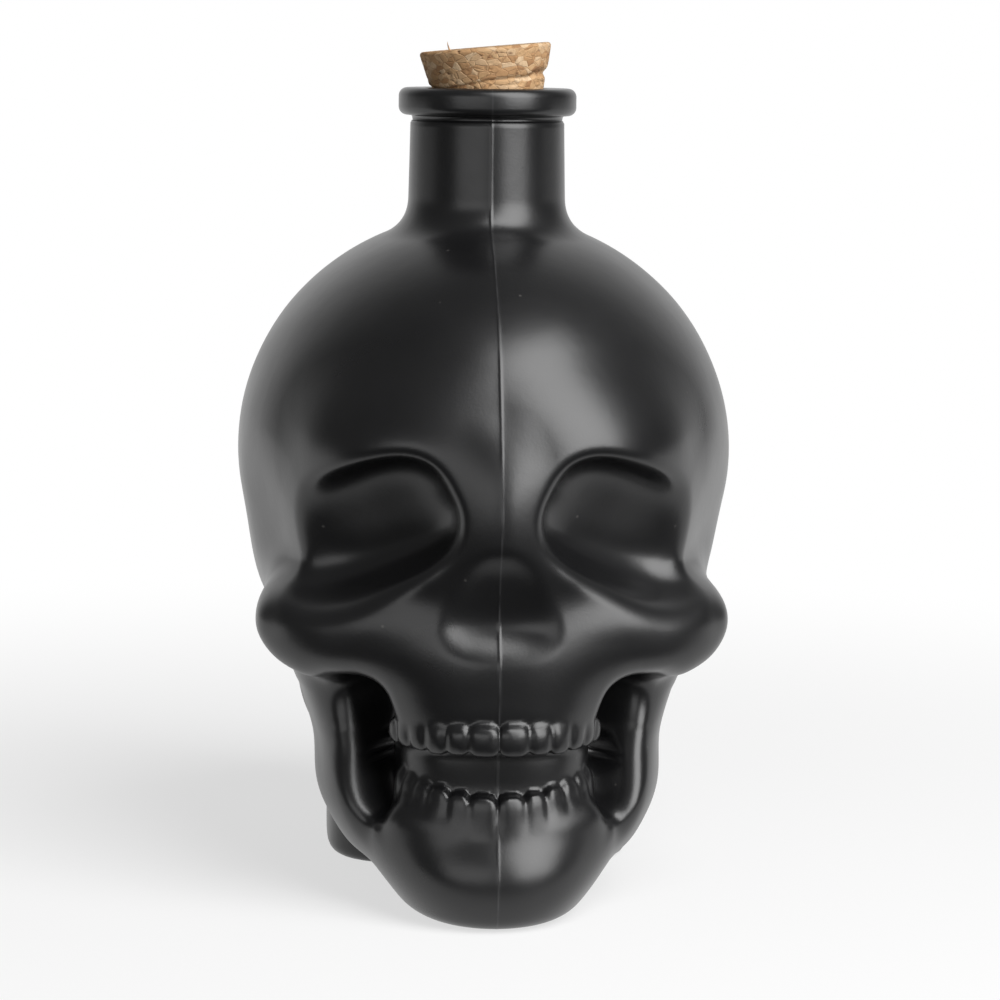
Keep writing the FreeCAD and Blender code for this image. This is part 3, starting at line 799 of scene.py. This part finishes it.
def makeSplinter(shift, tall):
    # small rings along a path that rises evenly and bends by the square, thinner towards the tip
    along = np.linspace(0, 1, fibre["rows"])[:, None]
    turn = np.linspace(0, 2 * math.pi, fibre["columns"], endpoint=False)
    root = np.array([*fibre["root"], tall - fibre["sunk"]])
    path = root + along * fibre["rise"] + (along ** 2) * fibre["bend"]
    thick = fibre["thick"] * (1 - along) ** fibre["taperPower"] + fibre["tip"]
    rings = path[:, None] + thick[..., None] * np.stack([np.sin(turn), -np.cos(turn), 0 * turn], axis=-1)
    return ringMesh("cork_splinter", corkPlace(rings, shift))


corkPiece, corkShift, corkTall = makeCork()
splinter = makeSplinter(corkShift, corkTall)
corkMaterial = makeCorkMaterial()
for piece in (corkPiece, splinter):
    piece.data.materials.append(corkMaterial)
    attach(piece, "cork")
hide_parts("cork_stopper")
print("cork", len(corkPiece.data.polygons), "faces")


# stage: pale floor, white surroundings, a softbox to the right and a weak fill to the left

stage = {
    "floorSize": 8.0,
    "floorTone": (0.9, 0.9, 0.9, 1),
    "floorWhiteShare": 0.65,       # of plain white in what the camera sees of the floor by the bottle
    "whiteFrom": (0.1, 0.42),      # distances from the bottle over which the floor turns white
    "roomTone": (0.03, 0.03, 0.03, 1),
    "tableFront": 0.115,
    "reflectFrom": (0.3, 0.95),    # Y of a reflection's direction, where 1 is straight behind the bottle
    "reflectTo": (0.14, 0.9),      # strengths there
    "keyFrom": (38, 36, 1.1),      # azimuth to the right and elevation in degrees, distance
    "keySize": (0.8, 1.45),
    "keyPower": 21.5,
    "fillFrom": (-24, 9, 1.4),
    "fillSize": (1.2, 0.55),
    "fillPower": 2.8,
    "ambient": 0.1,
}


def makeFloor():
    # one square, level with the foot
    mesh = bpy.data.meshes.new("floor")
    half = stage["floorSize"] / 2
    corners = [(-half, -half, 0), (half, -half, 0), (half, half, 0), (-half, half, 0)]
    mesh.from_pydata(corners, [], [(0, 1, 2, 3)])
    floor = bpy.data.objects.new("floor", mesh)
    bpy.context.scene.collection.objects.link(floor)
    shader = Shader("pale_floor")
    path = shader.add("ShaderNodeLightPath")
    parts = shader.add("ShaderNodeSeparateXYZ")
    shader.link(shader.object, parts.inputs["Vector"])
    # outside the picture, in front of the bottle, the pale table ends and the room is dark
    table = shader.fit(parts.outputs["Y"], -stage["tableFront"], -stage["tableFront"] / 2)
    table = shader.math("MAXIMUM", table, path.outputs["Is Camera Ray"])
    shader.set(Base_Color=shader.mix(table, stage["roomTone"], stage["floorTone"]), Roughness=0.9)
    # the floor is pale near the bottle, and further out it is as white as the background
    glow = shader.add("ShaderNodeEmission")
    far = shader.add("ShaderNodeVectorMath", operation="LENGTH")
    shader.link(shader.object, far.inputs[0])
    away = shader.fit(far.outputs["Value"], *stage["whiteFrom"], stage["floorWhiteShare"])
    seen = shader.math("MAXIMUM", path.outputs["Is Camera Ray"], path.outputs["Is Glossy Ray"])
    seen = shader.math("MAXIMUM", seen, path.outputs["Is Transmission Ray"])
    blend = shader.add("ShaderNodeMixShader")
    shader.link(shader.math("MULTIPLY", shader.math("MULTIPLY", away, seen), table), blend.inputs["Fac"])
    shader.link(shader.principled.outputs["BSDF"], blend.inputs[1])
    shader.link(glow.outputs["Emission"], blend.inputs[2])
    shader.link(blend.outputs["Shader"], shader.tree.nodes["Material Output"].inputs["Surface"])
    mesh.materials.append(shader.material)


bottleMiddle = Vector((0, 0, rimLevel / 2))


def placeFrom(azimuth, elevation, distance):
    # a place seen from the bottle's middle
    a, e = math.radians(azimuth), math.radians(elevation)
    way = Vector((math.sin(a) * math.cos(e), -math.cos(a) * math.cos(e), math.sin(e)))
    return bottleMiddle + distance * way


def addSoftbox(name, place, size, power):
    # a rectangle of light that faces the bottle's middle
    light = bpy.data.lights.new(name, "AREA")
    light.shape = "RECTANGLE"
    light.size, light.size_y = size
    light.energy = power
    lamp = bpy.data.objects.new(name, light)
    lamp.location = placeFrom(*place)
    lamp.rotation_euler = (bottleMiddle - lamp.location).to_track_quat("-Z", "Y").to_euler()
    bpy.context.scene.collection.objects.link(lamp)


def makeSurroundings():
    # white for the camera, and for reflections white behind and dim in front, as in a studio
    world = bpy.data.worlds.new("studio")
    world.use_nodes = True
    nodes, links = world.node_tree.nodes, world.node_tree.links
    back = nodes["Background"]
    place = nodes.new("ShaderNodeTexCoord")
    parts = nodes.new("ShaderNodeSeparateXYZ")
    links.new(place.outputs["Generated"], parts.inputs["Vector"])
    behind = nodes.new("ShaderNodeMapRange")
    behind.interpolation_type = "SMOOTHSTEP"
    ends = stage["reflectFrom"] + stage["reflectTo"]
    for name, value in zip(("From Min", "From Max", "To Min", "To Max"), ends):
        behind.inputs[name].default_value = value
    links.new(parts.outputs["Y"], behind.inputs["Value"])
    path = nodes.new("ShaderNodeLightPath")
    shiny = nodes.new("ShaderNodeMath")
    shiny.operation = "MAXIMUM"
    links.new(path.outputs["Is Glossy Ray"], shiny.inputs[0])
    links.new(path.outputs["Is Transmission Ray"], shiny.inputs[1])
    reflected = nodes.new("ShaderNodeMix")
    links.new(shiny.outputs["Value"], reflected.inputs["Factor"])
    reflected.inputs["A"].default_value = stage["ambient"]
    links.new(behind.outputs["Result"], reflected.inputs["B"])
    strength = nodes.new("ShaderNodeMix")
    links.new(path.outputs["Is Camera Ray"], strength.inputs["Factor"])
    links.new(reflected.outputs["Result"], strength.inputs["A"])
    strength.inputs["B"].default_value = 1.0
    back.inputs["Color"].default_value = (1, 1, 1, 1)
    links.new(strength.outputs["Result"], back.inputs["Strength"])
    bpy.context.scene.world = world


camera = {
    "azimuth": -3.3,              # degrees
    "distance": 0.75,
    "height": 0.183,
    "focalPixels": 3428,          # for a picture of 1000 by 1000
    "pictureSize": 1000,
    "horizonRow": 36,
    "axisColumn": 483.5,
    "roll": 0.6,
    "sensor": 36,
}


def makeCamera():
    # looks towards the neck's axis, turned and tipped so that the axis and the horizon fall on their pixels
    data = bpy.data.cameras.new("camera")
    data.sensor_fit = "HORIZONTAL"
    data.sensor_width = camera["sensor"]
    data.lens = camera["sensor"] * camera["focalPixels"] / camera["pictureSize"]
    azimuth = math.radians(camera["azimuth"])
    middle = camera["pictureSize"] / 2
    pitch = math.atan((middle - camera["horizonRow"]) / camera["focalPixels"])
    turn = math.atan((middle - camera["axisColumn"]) / camera["focalPixels"])
    ahead = Matrix.Rotation(-turn, 3, "Z") @ Vector((-math.sin(azimuth), math.cos(azimuth), 0))
    ahead = ahead * math.cos(pitch) - Vector((0, 0, math.sin(pitch)))
    view = bpy.data.objects.new("camera", data)
    away = camera["distance"]
    view.location = (math.sin(azimuth) * away, -math.cos(azimuth) * away, camera["height"])
    roll = Matrix.Rotation(math.radians(camera["roll"]), 3, "Z").to_quaternion()
    view.rotation_mode = "QUATERNION"
    view.rotation_quaternion = ahead.to_track_quat("-Z", "Y") @ roll
    bpy.context.scene.collection.objects.link(view)
    bpy.context.scene.camera = view


makeFloor()
addSoftbox("key", stage["keyFrom"], stage["keySize"], stage["keyPower"])
addSoftbox("fill", stage["fillFrom"], stage["fillSize"], stage["fillPower"])
makeSurroundings()
makeCamera()
bpy.context.scene.view_settings.view_transform = "Standard"
print("stage ready")
